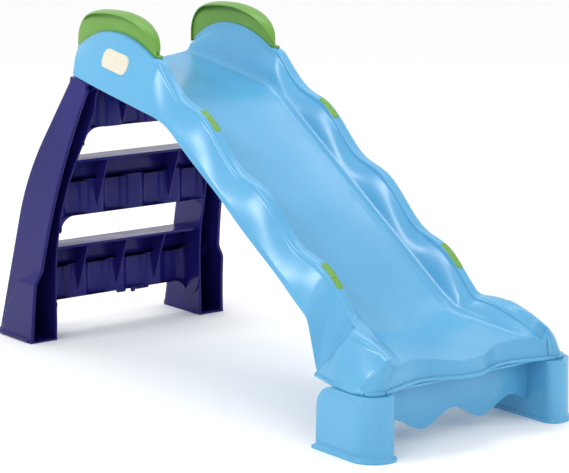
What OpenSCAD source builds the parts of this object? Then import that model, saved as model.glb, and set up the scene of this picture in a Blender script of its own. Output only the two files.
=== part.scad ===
// Toddler wave slide: one slide moulding, carried by a folding ladder and a front foot.
// Millimetres. +X runs from the ladder towards the exit, +Z is up, and Y = 0 is the mirror
// plane. The origin is on the ground, at the middle of the whole slide's length and width.
// Lengths along the slide are measured from the front of the ladder's feet, then shifted.

/* [Chute] */
// Height of the platform beside its back edge
platform_h = 568; // [564:1:572]
// Fall of the platform for each millimetre of run
platform_slope = 0.17; // [0.15:0.01:0.19]
// Fall of the chute for each millimetre of run
chute_slope = 0.66; // [0.65:0.005:0.67]
// Fall of the run-out for each millimetre of run
runout_slope = 0.2; // [0.18:0.01:0.22]
// Depth of the dish across the bed
dish_d = 8; // [4:1:10]
// Wall thickness of the mouldings
wall = 4; // [3:0.5:4]

/* [Rims] */
// Half width from the middle to the inside of the rim
rim_in = 131; // [129:1:132]
// Half width from the middle to the outside of the rim
rim_out = 146; // [145:1:148]
// Length of one wave of the rim
wave_pitch = 173; // [170:1:176]
// Height of the rim's waves above their middle line
wave_h = 10.3; // [6:0.1:12]
// Height of the top of the hood
hood_h = 639.5; // [636:0.5:642]
// Half width at the skirt's bottom edge
skirt_half = 190; // [188:1:192]

/* [Exit] */
// Half width of the exit block at its front, above the flange
exit_half = 233; // [230:1:234]
// Height of the flange's underside, where the front foot starts
flange_h = 112; // [110:1:114]
// Depth of the waves along the exit lip, seen from above
lip_wave = 14; // [8:1:16]

/* [Handrails] */
// Length of a handrail's arch
grip_len = 277; // [272:1:280]
// Height of a handrail's top
grip_h = 680; // [676:0.5:684]
// Width of a handrail's cap
grip_w = 38; // [34:1:40]
// Thickness of a handrail's cap
grip_t = 9; // [7:0.5:10]

/* [Ladder] */
// Height of the lower tread
tread_h = 190; // [188:1:192]
// Rise from one tread to the next
rise = 186; // [184:1:188]
// Set-back from one tread to the next
set_back = 70; // [68:1:72]
// Depth of a tread from front to back
tread_d = 61; // [56:1:64]
// Height of a riser panel below its tread
riser_h = 120; // [112:1:124]
// Half width over the ladder's feet
foot_half = 240; // [238:1:241]
// Inside radius of the gaps' upper corners
gap_r = 34; // [25:1:40]

/* [Front foot] */
// Depth of a front leg from back to front, above its bottom bead
leg_l = 147; // [140:1:148]
// Half width over the front legs, above their bottom beads
leg_half = 242; // [238:1:246]
// Width of a front leg
leg_w = 64; // [60:1:70]

/* [Hinge] */
// Radius of the hinge pins
pin_r = 4.5; // [4:0.1:4.8]
// Radial clearance of a hinge pin
pin_play = 0.05; // [0.02:0.01:0.08]

/* [Hidden] */
$fn = 48;

sky = [0.49, 0.74, 0.92];
navy = [0.2, 0.17, 0.45];
green = [0.5, 0.73, 0.33];
steel = [0.75, 0.76, 0.78];
cream = [0.95, 0.94, 0.88];
mid_x = 460.5;

// ---- blends ----
function ramp(a, b, x) = let (t = min(1, max(0, (x - a) / (b - a)))) t * t * (3 - 2 * t);
function mix(a, b, t) = a + (b - a) * t;
function smax(a, b, k) = let (h = max(k - abs(a - b), 0) / k) max(a, b) + h * h * k / 4;
function smin(a, b, k) = -smax(-a, -b, k);

// ---- the slide moulding's guiding lines, as heights over the length x ----
function bed_z(x) = smax(
    smin(platform_h - platform_slope * (x - 110), 423 - chute_slope * (x - 508), 26),
    178 - runout_slope * (x - 905), 30);
hood_x = 168;
hood_back_r = 190;
hood_front_r = 260;
function hood_z(x) = let (r = x < hood_x ? hood_back_r : hood_front_r)
    hood_h - r + sqrt(max(0, r * r - (x - hood_x) * (x - hood_x)));
function wave_z(x) = 389.8 - 0.648 * (x - 640) + wave_h * cos(360 * (x - 652) / wave_pitch);
function shoulder_z(x) = 209 - 0.1 * (x - 909) - 0.0015 * pow(x - 909, 2);
function rim_z(x) = mix(mix(hood_z(x), wave_z(x), ramp(300, 335, x)),
    shoulder_z(x), ramp(882, 912, x));
function rim_in_y(x) = rim_in + 41 * pow(max(0, x - 880) / 150, 1.3);
function rim_out_y(x) = rim_out + 36 * ramp(876, 940, x);
// How far the rim's inside edge is below its outside edge, at the exit
function rim_drop(x) = 22 * pow(max(0, x - 925) / 110, 1.6);
function skirt_z(x) = max(flange_h, smin(
    smin(549 - 0.187 * (x - 91), 453 - 0.675 * (x - 450), 20), 186 - 3 * (x - 829), 16));
function skirt_y(x) = mix(skirt_half, exit_half - 35 * (1 - ramp(790, 1010, x)), ramp(848, 872, x));

// ---- handrail slot in the hood's top ----
slot_a = 66;
slot_b = 306;
slot_w = 8;
slot_d = 22;
grip_y = (rim_in + rim_out) / 2;
function slot_depth(x) = slot_d * min(ramp(slot_a - 5, slot_a, x), 1 - ramp(slot_b, slot_b + 5, x));

// Half of the slide moulding's cross-section at length x, from the skirt's bottom to the
// middle of the bed. inner = 0 gives the outside skin and 1 the skin underneath.
function half_section(x, inner) = let (
    t = wall * inner,
    zb = bed_z(x) - t,
    zr = rim_z(x) - t - inner * slot_depth(x),
    zi = zr - rim_drop(x),
    zs = skirt_z(x),
    yi = rim_in_y(x) + 0.75 * t,
    yo = rim_out_y(x) - t,
    ys = skirt_y(x) - t,
    h = max(6, zi - zb),
    c = min(5, h / 4),
    bead = (1 - inner) * mix(0.6, 6, ramp(850, 885, x)),
    d = (1 - inner) * slot_depth(x),
    crown = (1 - inner) * 0.6 * (1 - d / slot_d),
    sy = (yo - yi) / 2,
    ym = (yo + yi) / 2,
    sw = min(slot_w / 2, sy * 0.6),
    up = [yo, zr - c]
) [
    [ys + bead, zs],
    [ys + bead, zs + 6],
    [ys, zs + 9],
    [mix(ys, yo, 0.36) + 3, mix(zs + 9, zr - c, 0.33)],
    [mix(ys, yo, 0.72) + 2, mix(zs + 9, zr - c, 0.7)],
    up,
    [yo - 1.5 * (1 - inner) - 0.5 * inner, zr - 0.25 * c],
    [ym + sw, zr],
    [ym + sw * mix(0.5, 1, d / slot_d), zr + crown - d],
    [ym - sw * mix(0.5, 1, d / slot_d), mix(zr, zi, 0.4) + crown - d],
    [ym - sw, mix(zr, zi, 0.7)],
    [yi + 1.5 * (1 - inner) + 0.5 * inner, zi - 0.25 * c],
    [yi, zi - c],
    [yi - 3, zb + 0.62 * h],
    [yi - 9, zb + 0.3 * h],
    [yi - 18, zb + 0.09 * h],
    for (i = [4 : -1 : 0]) [(yi - 32) * i / 4, zb - dish_d * (1 - i * i / 16)]
];
// The back end of each line of the half section: skirt, side panel, rim, inner wall, bed
back_x = [91, 89, 87, 73, 61, 50, 48, 48, 48, 48, 48, 49, 52, 58, 62, 66, 69, 70, 70, 70, 70];
half_n = len(back_x);
// The front edge in plan, waved across the bed and rounded at the block's corners
lip_x = 1024;
lip_pitch = 200;
block_r = 56;
function corner_set_back(y) = let (d = max(0, y - exit_half + block_r))
    block_r - sqrt(max(0, block_r * block_r - d * d));
function lip_edge(y) = lip_x + lip_wave * (y < lip_pitch ? cos(360 * y / lip_pitch) : 1)
    - corner_set_back(min(y, exit_half - 1));
front_x = [for (p = half_section(lip_x, 0)) lip_edge(p[0])];
// Stations along the slide, as shares of the way from back to front: closer where it bends
stations = concat(
    [for (i = [0 : 20]) 0.31 * i / 20],
    [for (i = [1 : 28]) 0.31 + 0.47 * i / 28],
    [for (i = [1 : 21]) 0.78 + 0.22 * i / 21]);
fascia_x = 11;

function line_x(j, s) = mix(back_x[j], front_x[j], s);
function skin_point(j, s, inner) = let (x = line_x(j, s), p = half_section(x, inner)[j])
    [x - (s == 1 ? inner * 3 : 0), p[0], p[1]];
function fascia_point(j, inner) = let (p = skin_point(j, 1, inner)) [
    p[0] + fascia_x - inner * 2,
    p[1] - inner * 0.5 * min(j, 2),
    inner == 1 || j == 0 ? flange_h : flange_h + 6
];
function half_row(s, inner) = s > 1
    ? [for (j = [0 : half_n - 1]) fascia_point(j, inner)]
    : [for (j = [0 : half_n - 1]) skin_point(j, s, inner)];
function full_row(s, inner) = let (r = half_row(s, inner)) concat(r,
    [for (j = [half_n - 2 : -1 : 0]) [r[j][0], -r[j][1], r[j][2]]]);

// Two triangles over the corners a, b, c, d, which run clockwise as seen from outside
function quad(a, b, c, d) = [[a, b, c], [a, c, d]];

// A closed sheet between two grids of points with the same rows and columns
module sheet_solid(top, under) {
    rows = len(top);
    cols = len(top[0]);
    n = rows * cols;
    function at(r, c) = r * cols + c;
    grid = [for (r = [0 : rows - 2], c = [0 : cols - 2]) [at(r, c), at(r, c + 1)]];
    rims = [for (r = [0 : rows - 2]) [at(r, 0), at(r, cols - 1)]];
    ends = [for (c = [0 : cols - 2]) [at(0, c), at(rows - 1, c)]];
    faces = concat(
        [for (g = grid) each quad(g[0], g[0] + cols, g[1] + cols, g[1])],
        [for (g = grid) each quad(n + g[0], n + g[1], n + g[1] + cols, n + g[0] + cols)],
        [for (g = rims) each quad(g[0], n + g[0], n + g[0] + cols, g[0] + cols)],
        [for (g = rims) each quad(g[1], g[1] + cols, n + g[1] + cols, n + g[1])],
        [for (g = ends) each quad(g[0], g[0] + 1, n + g[0] + 1, n + g[0])],
        [for (g = ends) each quad(g[1], n + g[1], n + g[1] + 1, g[1] + 1)]);
    polyhedron(concat([for (r = top) each r], [for (r = under) each r]), faces, convexity = 12);
}

// Shifts the length's zero from the ladder's feet to the middle of the slide
module placed() {
    translate([-mid_x, 0, 0]) children();
}

// Draws a left-hand part on either side: side is 1 for left and -1 for right
module sided(side) {
    placed() mirror([0, side < 0 ? 1 : 0, 0]) children();
}

// Extrudes an outline drawn in X and Z from y0 to y1
module across(y0, y1) {
    translate([0, y1, 0]) rotate([90, 0, 0]) linear_extrude(y1 - y0) children();
}

module slide_bed() {
    rows = concat(stations, [2]);
    color(sky) placed() sheet_solid(
        [for (s = rows) full_row(s, 0)],
        [for (s = rows) full_row(s, 1)]);
}

// ---- front foot ----
leg_x0 = 913;
outer_corner_r = 42;
inner_corner_r = 20;
bead = 5;
cross_x = 991;
cross_wave = 137;
screw_r = 2;
screw_places = [for (x = [962, 1008], y = [-205, 205]) [x, y]];
roof_t = wall + 1;

// Plan of one leg, grown outwards by g
module leg_plan(g) {
    x1 = leg_x0 + leg_l + g;
    y0 = leg_half - leg_w - g;
    y1 = leg_half + g;
    r_out = outer_corner_r + g;
    r_in = inner_corner_r + g;
    difference() {
        translate([leg_x0 - g, y0]) square([x1 - leg_x0 + g, y1 - y0]);
        translate([x1 - r_out, y1 - r_out]) difference() {
            square(r_out + 1);
            circle(r_out);
        }
        translate([x1 - r_in, y0 + r_in]) mirror([0, 1]) difference() {
            square(r_in + 1);
            circle(r_in);
        }
    }
}

// Side outline of one leg, whose upper back corner is a wide round
module leg_side(g) {
    r = 38 + g;
    difference() {
        translate([leg_x0 - g, 0]) square([leg_l + 2 * g, flange_h + min(g, 0)]);
        translate([leg_x0 - g + r, flange_h + min(g, 0) - r]) mirror([1, 0]) difference() {
            square(r + 1);
            circle(r);
        }
    }
}

module leg_block(g) {
    intersection() {
        linear_extrude(flange_h + 2) leg_plan(g);
        across(0, 300) leg_side(g);
    }
}

module front_leg() {
    difference() {
        union() {
            leg_block(0);
            linear_extrude(bead) leg_plan(bead);
        }
        translate([0, 0, -1]) leg_block(-wall);
    }
}

function cross_edge(y) = 34 + 13 * cos(360 * y / cross_wave);

module cross_panel() {
    edge = leg_half - leg_w + 2;
    low = [for (i = [-30 : 30]) [i * edge / 30, cross_edge(i * edge / 30)]];
    translate([cross_x, 0, 0]) rotate([90, 0, 90]) linear_extrude(wall)
        polygon(concat(low, [[edge, flange_h], [-edge, flange_h]]));
    translate([cross_x - 24, -edge, flange_h - wall]) cube([58, 2 * edge, wall]);
}

module front_foot() {
    color(sky) placed() difference() {
        union() {
            front_leg();
            mirror([0, 1, 0]) front_leg();
            cross_panel();
        }
        for (p = screw_places)
            translate([p[0], p[1], flange_h - 10]) cylinder(r = screw_r + 0.5, h = 20);
    }
}

// Hollow bosses under the exit that take the front foot's screws, with a web to the wall
module exit_bosses() {
    color(sky) placed() for (p = screw_places) mirror([0, p[1] < 0 ? 1 : 0, 0])
        translate([p[0], abs(p[1]), flange_h]) difference() {
            union() {
                cylinder(r = 6, h = 30);
                translate([-2, 0, 0]) rotate([90, 0, 90]) linear_extrude(4)
                    polygon([[0, 0], [20, 0], [14, 22], [0, 22]]);
            }
            translate([0, 0, -1]) cylinder(r = screw_r, h = 27);
        }
}

module foot_screws() {
    color(steel) placed() for (p = screw_places) translate([p[0], p[1], flange_h - roof_t]) {
        translate([0, 0, -1]) cylinder(r = screw_r, h = 24);
        translate([0, 0, -3]) cylinder(r = 4.5, h = 3);
    }
}

// ---- handrails ----
grip_x = 177;
grip_z = 603;
// The arch's back end runs down behind the hood to this height
grip_tail_z = 591;
grip_back = 140;
web_t = slot_w - 0.4;
// The web reaches into the slot from this far inside the slot's ends
slot_run = 14;

// Height of the arch, set in by g on its outline
function arch_z(x, g) = let (
    reach = x < grip_x ? grip_back : grip_len - grip_back,
    u = min(1, abs(x - grip_x) / (reach - g)),
    n = x < grip_x ? 2.6 : 2.1
) grip_z + (grip_h - grip_z - g) * pow(1 - pow(u, n), 1 / n);

// Points along the arch, closer together near its steep ends
function arch(g) = [for (i = [-24 : 24]) let (
    s = sin(i * 90 / 24),
    x = grip_x + s * ((i < 0 ? grip_back : grip_len - grip_back) - g)) [x, arch_z(x, g)]];

// The cap is widest over the top, narrow down the back and tapered like a tongue in front
module grip_plan() {
    half = grip_w / 2;
    front = grip_x + grip_len - grip_back;
    translate([0, grip_y - 2]) polygon([
        [30, -5], [62, -7], [90, -0.8 * half], [125, -half], [235, -half], [front - 14, -12],
        [front - 3, -8], [front + 2, -3], [front + 2, 3], [front - 3, 8], [front - 14, 12],
        [235, half], [125, half], [90, 0.8 * half], [62, 7], [30, 5]]);
}

module grip_cap() {
    outer = arch(0);
    inner = arch(grip_t);
    intersection() {
        across(grip_y - grip_w / 2 - 3, grip_y + grip_w / 2 - 1)
            polygon(concat([[outer[0][0], grip_tail_z]], outer,
                [for (i = [len(inner) - 1 : -1 : 0]) inner[i]], [[inner[0][0], grip_tail_z]]));
        linear_extrude(800) grip_plan();
    }
}

module grip_web() {
    inset = arch(grip_t - 0.5);
    over = [for (i = [0 : 26]) 49.5 + 10 * i];
    across(grip_y - web_t / 2, grip_y + web_t / 2) polygon(concat(
        [for (p = inset) if (p[1] > rim_z(max(p[0], over[0])) + 2) p],
        [for (i = [26 : -1 : 0]) let (x = over[i])
            [x, rim_z(x) - (x > slot_a + slot_run && x < slot_b - slot_run ? slot_d - 2 : -1.2)]]));
}

module handrail(side) {
    color(green) sided(side) union() {
        grip_cap();
        grip_web();
    }
}

// ---- inserts on the rims' crests ----
insert_l = 51;
insert_w = 12;
insert_t = 2;
insert_x = [454, 808];

module rim_insert(place, side) {
    x0 = insert_x[place];
    xs = [for (i = [0 : 8]) x0 + insert_l * i / 8];
    color(green) sided(side) across(grip_y - insert_w / 2 + 0.5, grip_y + insert_w / 2 + 0.5)
        polygon(concat([for (x = xs) [x, rim_z(x) - 0.4]],
            [for (i = [8 : -1 : 0]) [xs[i], rim_z(xs[i]) + (i == 0 || i == 8 ? 0.9 : insert_t)]]));
}

// ---- plain plaques on the hood's sides ----
badge_l = 84;
badge_h = 44;
badge_x = 205;
badge_z = 578;
badge_t = 2;

module badge(side) {
    fall = rim_z(badge_x) - skirt_z(badge_x) - 14;
    lean = atan((skirt_half - rim_out) / fall);
    y = rim_out + 2.6 + (skirt_half - rim_out) * (rim_z(badge_x) - 5 - badge_z) / fall;
    color(cream) sided(side) translate([badge_x, y, badge_z]) rotate([90 - lean, 0, 0])
        translate([0, 0, -badge_t / 2]) linear_extrude(badge_t) intersection() {
            square([badge_l, badge_h], center = true);
            circle(r = badge_l / 2);
        }
}

// ---- hinge between the slide and the ladder ----
pivot_x = 150;
pivot_z = 545;
ear_y = [152, 166];
cheek_gap = 0.5;
cheek_y = [144, 172];
hub_r = 10;

// Puts a cylinder along Y between y0 and y1 on the hinge's axis
module on_axis(r, y0, y1) {
    translate([pivot_x, y1, pivot_z]) rotate([90, 0, 0]) cylinder(r = r, h = y1 - y0);
}

// Fork that hangs from the hood and carries a hinge pin
module pivot_block(side) {
    color(sky) sided(side) difference() {
        union() {
            translate([pivot_x - 12, cheek_y[0], pivot_z - 5])
                cube([24, cheek_y[1] - cheek_y[0], 35]);
            translate([pivot_x - 12, 127, pivot_z + 20]) cube([24, 20, 10]);
        }
        translate([pivot_x - 20, ear_y[0] - cheek_gap, pivot_z - 20])
            cube([40, ear_y[1] - ear_y[0] + 2 * cheek_gap, 31.5]);
        on_axis(pin_r + pin_play, cheek_y[0] - 1, cheek_y[1] + 1);
    }
}

module pivot_pin(side) {
    color(steel) sided(side) difference() {
        union() {
            on_axis(pin_r, 139, 172.5);
            on_axis(6.5, 172, 175);
        }
        // groove for the clip
        difference() {
            on_axis(pin_r + 1, 141, 142.2);
            on_axis(pin_r - 0.8, 140, 143);
        }
    }
}

module pin_clip(side) {
    color(steel) sided(side) difference() {
        on_axis(7.5, 141.1, 142.1);
        on_axis(pin_r - 0.75, 140, 143);
        translate([pivot_x - 2.5, 140, pivot_z - 10]) cube([5, 3, 10]);
    }
}

// Eye of the ladder that turns on a hinge pin, with its arm into the ladder's side
module hinge_ear(side) {
    color(navy) sided(side) difference() {
        union() {
            on_axis(hub_r, ear_y[0], ear_y[1]);
            across(ear_y[0], ear_y[1]) polygon([
                [pivot_x - 4, pivot_z + 9], [78, 538], [72, 520], [100, 512], [pivot_x + 2, pivot_z - 9.5]]);
        }
        on_axis(pin_r + pin_play, ear_y[0] - 1, ear_y[1] + 1);
    }
}

// Pads under the platform that the ladder's top bears on
module ladder_stops() {
    color(sky) placed() for (y = [-60, 60])
        translate([92, y - 20, ladder_top + 0.5]) cube([26, 40, 9]);
}

// ---- ladder ----
ladder_top = 544;
function side_front(z) = 0.000495 * z * z + 0.012 * z;
function side_front_in(z) = side_front(z)
    - 14 * ramp(20, 200, z) * (1 - ramp(320, 450, z) * (1 - ramp(470, 515, z)));
function side_back(z) = smax(-139 + 0.22 * z, -298.5 + 0.7 * z, 40);
function side_out(z) = 219 - 0.0826 * (z - 184);
function side_out_front(z) = mix(foot_half - 0.04 * z, side_out(z), ramp(116, 156, z));
function side_in(z) = 178 - 0.01 * min(z, 260) - 0.094 * max(0, z - 260);

// Plan of a ladder side at height z: a channel that is open towards the front.
// lip widens the outside at the ground.
function side_section(z) = let (
    lip = z < 6 ? 5 : 0,
    zz = min(z, 538),
    xf = side_front(zz) - 9 * ramp(522, 536, z),
    xi = side_front_in(zz),
    xb = side_back(zz) - lip,
    yf = side_out_front(zz) + lip * 0.3,
    yo = side_out(zz) + lip,
    yi = side_in(zz),
    t = wall,
    r = 9
) [
    [xf, yf], [mix(xf, xb, 0.25), mix(yf, yo, 0.4)], [mix(xf, xb, 0.6), yo], [xb + r, yo],
    [xb + r * 0.3, yo - r * 0.3], [xb, yo - r], [xb, yi + r], [xb + r * 0.3, yi + r * 0.3],
    [xb + r, yi], [xi, yi], [xi, yi + t], [xb + r, yi + t],
    [xb + t + lip, yi + r], [xb + t + lip, yo - r], [xb + r + lip, yo - t - lip],
    [mix(xf, xb, 0.6), yo - t - lip], [mix(xf, xb, 0.25), mix(yf, yo, 0.4) - t], [xf, yf - t]
];
side_heights = concat([0, 5.9, 6], [for (z = [24 : 18 : 114]) z], [for (z = [122 : 8 : 162]) z],
    [for (z = [180 : 22 : 510]) z], [524, 531, 538]);

module ladder_side(side) {
    rows = [for (z = side_heights) let (s = side_section(z))
        [for (p = s) [p[0], p[1], z == 538 ? min(546, skirt_z(p[0]) - 1.5) : z]]];
    cols = len(rows[0]);
    end = (len(rows) - 1) * cols;
    half = cols / 2;
    faces = concat(
        [for (r = [0 : len(rows) - 2], c = [0 : cols - 1]) let (a = r * cols + c,
            b = r * cols + (c + 1) % cols) each quad(a, a + cols, b + cols, b)],
        [for (c = [0 : half - 2]) each quad(c, c + 1, cols - 2 - c, cols - 1 - c)],
        [for (c = [0 : half - 2])
            each quad(end + c, end + cols - 1 - c, end + cols - 2 - c, end + c + 1)]);
    color(navy) sided(side) polyhedron([for (r = rows) each r], faces, convexity = 8);
}

// Wavy plan of a riser panel
riser_wave = 95;
riser_wave_d = 4;
rib_t = 3;
ledge_drop = 48;

module wavy_wall(x, half, t) {
    n = 40;
    pts = [for (i = [-n : n]) let (y = i * half / n)
        [x + riser_wave_d * cos(360 * y / riser_wave), y]];
    polygon(concat(pts, [for (i = [2 * n : -1 : 0]) [pts[i][0] - t, pts[i][1]]]));
}

// Everything between the ladder's two sides, and just into their inner walls
module between_sides() {
    grip = 1.5;
    edge = [for (z = [0, 260, 560]) [side_in(z) + grip, z]];
    translate([-90, 0, 0]) rotate([90, 0, 90]) linear_extrude(260)
        polygon(concat(edge, [for (i = [2 : -1 : 0]) [-edge[i][0], edge[i][1]]]));
}

// One step: tread, wavy riser with its ledge, ribs and the rounds of the gap below.
// top is the tread's height, cut is how much of the usual height is left off on top.
module step(front, top, ribs, cut = 0) {
    x_low = front - 48;
    x_back = front - tread_d;
    low = top + cut - riser_h;
    half = side_in(low - gap_r) + 5;
    round_y = side_in(low - gap_r / 2) - gap_r;
    translate([x_back, -half, top - wall]) cube([tread_d - cut / 2.5, 2 * half, wall]);
    translate([0, 0, low]) linear_extrude(riser_h - ledge_drop) wavy_wall(x_low - 1, half, wall);
    translate([x_back, -half, top + cut - ledge_drop - wall]) cube([14, 2 * half, wall]);
    translate([x_back, -half, top + cut - ledge_drop - 1]) cube([wall, 2 * half, ledge_drop - cut]);
    for (y = ribs) across(y - rib_t / 2, y + rib_t / 2) polygon([
        [front - 2 - cut / 2.5, top - 1], [x_low, low], [x_low - 8, low], [x_back + 1, top - 1]]);
    for (s = [-1, 1]) mirror([0, s < 0 ? 1 : 0, 0]) translate([x_low - 3, round_y, low])
        rotate([90, 0, 90]) linear_extrude(wall) difference() {
            translate([0, -gap_r]) square([half - round_y, gap_r + 1]);
            translate([0, -gap_r]) circle(gap_r);
        }
}

tread_x = -4;

module lower_step() {
    low = tread_h - riser_h;
    color(navy) placed() intersection() {
        union() {
            step(tread_x, tread_h, [-95, 0, 95]);
            translate([tread_x - 53, 2, low - 6]) cube([wall, 24, 8]);
            translate([tread_x - 53, 38, low - 9]) cube([wall, 12, 11]);
            translate([tread_x - 53, 50, low - 5]) cube([wall, 34, 7]);
        }
        between_sides();
    }
}

module middle_step() {
    color(navy) placed() intersection() {
        step(tread_x + set_back, tread_h + rise, [-87, 87]);
        between_sides();
    }
}

module top_step() {
    color(navy) placed() intersection() {
        step(tread_x + 2 * set_back, ladder_top, [-70, 70], tread_h + 2 * rise - ladder_top);
        between_sides();
    }
}

slide_bed();
front_foot();
handrail(1);  // handrail_left
handrail(-1);  // handrail_right
rim_insert(0, 1);  // insert_upper_left
rim_insert(0, -1);  // insert_upper_right
rim_insert(1, 1);  // insert_lower_left
rim_insert(1, -1);  // insert_lower_right
badge(1);  // badge_left
badge(-1);  // badge_right
pivot_block(1);  // pivot_block_left
pivot_block(-1);  // pivot_block_right
pivot_pin(1);  // pivot_pin_left
pivot_pin(-1);  // pivot_pin_right
pin_clip(1);  // pin_clip_left
pin_clip(-1);  // pin_clip_right
ladder_stops();
exit_bosses();
foot_screws();
ladder_side(1);  // ladder_side_left
ladder_side(-1);  // ladder_side_right
lower_step();
middle_step();
top_step();
hinge_ear(1);  // hinge_ear_left
hinge_ear(-1);  // hinge_ear_right
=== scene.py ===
"""Looks of the wave slide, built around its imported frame.

Shapes are worked out in millimetres: x is measured along the slide from the front of the
ladder's feet, y from the mirror plane and z from the ground. A mesh is turned into metres in
the row frame when it is made.
"""
import math

import bmesh
import bpy
import numpy as np
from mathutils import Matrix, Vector


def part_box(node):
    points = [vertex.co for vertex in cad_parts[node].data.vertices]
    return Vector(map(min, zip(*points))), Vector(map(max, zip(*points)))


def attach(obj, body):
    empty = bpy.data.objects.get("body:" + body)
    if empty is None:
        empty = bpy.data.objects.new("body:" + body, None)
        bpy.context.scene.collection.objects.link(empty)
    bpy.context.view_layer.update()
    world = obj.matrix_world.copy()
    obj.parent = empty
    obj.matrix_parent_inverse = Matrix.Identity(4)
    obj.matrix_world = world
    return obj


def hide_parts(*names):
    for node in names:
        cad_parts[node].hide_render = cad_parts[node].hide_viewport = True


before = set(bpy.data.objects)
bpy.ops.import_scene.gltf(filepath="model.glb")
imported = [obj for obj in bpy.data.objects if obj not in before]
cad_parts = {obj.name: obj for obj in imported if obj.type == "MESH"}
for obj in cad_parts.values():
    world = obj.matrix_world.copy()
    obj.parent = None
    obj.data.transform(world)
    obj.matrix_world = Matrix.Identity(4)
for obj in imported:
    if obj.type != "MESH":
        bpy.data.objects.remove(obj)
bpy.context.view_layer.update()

MM = 0.001

# ---- driving sizes, as in the part apart from SLOT_D, which is shallower here ----
WALL = 4.0
PLATFORM_H = 568.0
PLATFORM_SLOPE = 0.17
CHUTE_SLOPE = 0.66
RUNOUT_SLOPE = 0.2
# A point on each of the bed's three stretches, and how far its lower crease bows
PLATFORM_X = 110.0
CHUTE_X, CHUTE_Z = 508.0, 423.0
RUNOUT_X, RUNOUT_Z = 905.0, 178.0
BED_BOW = 4.2
DISH = 8.0
RIM_IN, RIM_OUT = 131.0, 146.0
RIM_SLOPE, RIM_AT_X, RIM_AT_Z = 0.648, 640.0, 389.8
WAVE_X, WAVE_PITCH, WAVE_H, FLUTE_D = 652.0, 173.0, 10.3, 1.1
HOOD_X, HOOD_H, HOOD_BACK_R, HOOD_FRONT_R = 168.0, 639.5, 190.0, 260.0
SKIRT_HALF = 190.0
EXIT_HALF = 233.0
BLOCK_X = 872.0
FLANGE_H = 112.0
LIP_X, LIP_WAVE, LIP_PITCH = 1024.0, 14.0, 200.0
SLOT_A, SLOT_B, SLOT_W, SLOT_D = 66.0, 306.0, 8.0, 12.0
GRIP_Y, GRIP_X, GRIP_Z, GRIP_H, GRIP_TAIL_Z = 138.5, 177.0, 603.0, 680.0, 591.0
GRIP_BACK, GRIP_FRONT = 140.0, 137.0
TREAD_X, TREAD_H, RISE, SET_BACK, TREAD_D, RISER_H = -4.0, 190.0, 186.0, 70.0, 61.0, 120.0
TOP_STEP_H = 544.0
FOOT_HALF = 240.0
LEG_X0, LEG_L, LEG_HALF, LEG_W, LEG_BEAD = 913.0, 147.0, 242.0, 64.0, 5.0
LEG_R_OUT, LEG_R_IN, LEG_TOP_R = 42.0, 20.0, 38.0
CROSS_X, CROSS_WAVE = 991.0, 137.0

# Where x = 0 lies in the row frame, from the front foot's foremost bead
ZERO_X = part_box("front_foot")[1].x - (LEG_X0 + LEG_L + LEG_BEAD) * MM


# ---- numbers ----
def ramp(a, b, x):
    t = np.clip((x - a) / (b - a), 0.0, 1.0)
    return t * t * (3 - 2 * t)


def mix(a, b, t):
    return a + (b - a) * t


def smax(a, b, k):
    h = np.maximum(k - np.abs(a - b), 0) / k
    return np.maximum(a, b) + h * h * k / 4


def smin(a, b, k):
    return -smax(-a, -b, k)


# ---- meshes ----
def to_row(points):
    p = np.array(points, float).reshape(-1, 3) * MM
    p[:, 0] += ZERO_X
    return p


def make_object(name, points, faces, smooth_angle=35.0):
    mesh = bpy.data.meshes.new(name)
    mesh.from_pydata([tuple(p) for p in to_row(points)], [], faces)
    mesh.validate()
    mesh.polygons.foreach_set("use_smooth", [True] * len(mesh.polygons))
    mesh.set_sharp_from_angle(angle=math.radians(smooth_angle))
    mesh.update()
    obj = bpy.data.objects.new(name, mesh)
    bpy.context.scene.collection.objects.link(obj)
    return obj


def grid_faces(rows, cols, offset=0, flip=False, closed=False):
    faces = []
    for r in range(rows - 1):
        for c in range(cols if closed else cols - 1):
            d = (c + 1) % cols
            quad = [offset + r * cols + c, offset + r * cols + d,
                    offset + (r + 1) * cols + d, offset + (r + 1) * cols + c]
            faces.append(quad[::-1] if flip else quad)
    return faces


def shell_between(top, under):
    """Closed thin shell between two grids of points of the same shape (rows, cols, 3)."""
    rows, cols = top.shape[:2]
    n = rows * cols
    faces = grid_faces(rows, cols, 0, True) + grid_faces(rows, cols, n, False)
    for r in range(rows - 1):
        a, b = r * cols, (r + 1) * cols
        faces.append([a, b, n + b, n + a][::-1])
        faces.append([a + cols - 1, n + a + cols - 1, n + b + cols - 1, b + cols - 1][::-1])
    for c in range(cols - 1):
        e = (rows - 1) * cols + c
        faces.append([c, n + c, n + c + 1, c + 1][::-1])
        faces.append([e, e + 1, n + e + 1, n + e][::-1])
    return np.concatenate([top.reshape(-1, 3), under.reshape(-1, 3)]), faces


def fix_normals(obj):
    bm = bmesh.new()
    bm.from_mesh(obj.data)
    bmesh.ops.recalc_face_normals(bm, faces=bm.faces)
    bm.to_mesh(obj.data)
    bm.free()


def apply_modifiers(obj):
    graph = bpy.context.evaluated_depsgraph_get()
    mesh = bpy.data.meshes.new_from_object(obj.evaluated_get(graph))
    old = obj.data
    obj.modifiers.clear()
    obj.data = mesh
    bpy.data.meshes.remove(old)


def bevelled(obj, width, segments=2, angle=40.0):
    """Rounds an object's edges by width in millimetres, and keeps it smooth shaded."""
    mod = obj.modifiers.new("round", "BEVEL")
    mod.width = width * MM
    mod.segments = segments
    mod.limit_method = "ANGLE"
    mod.angle_limit = math.radians(angle)
    mod.harden_normals = False
    apply_modifiers(obj)
    obj.data.polygons.foreach_set("use_smooth", [True] * len(obj.data.polygons))
    obj.data.set_sharp_from_angle(angle=math.radians(35))
    return obj


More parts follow.
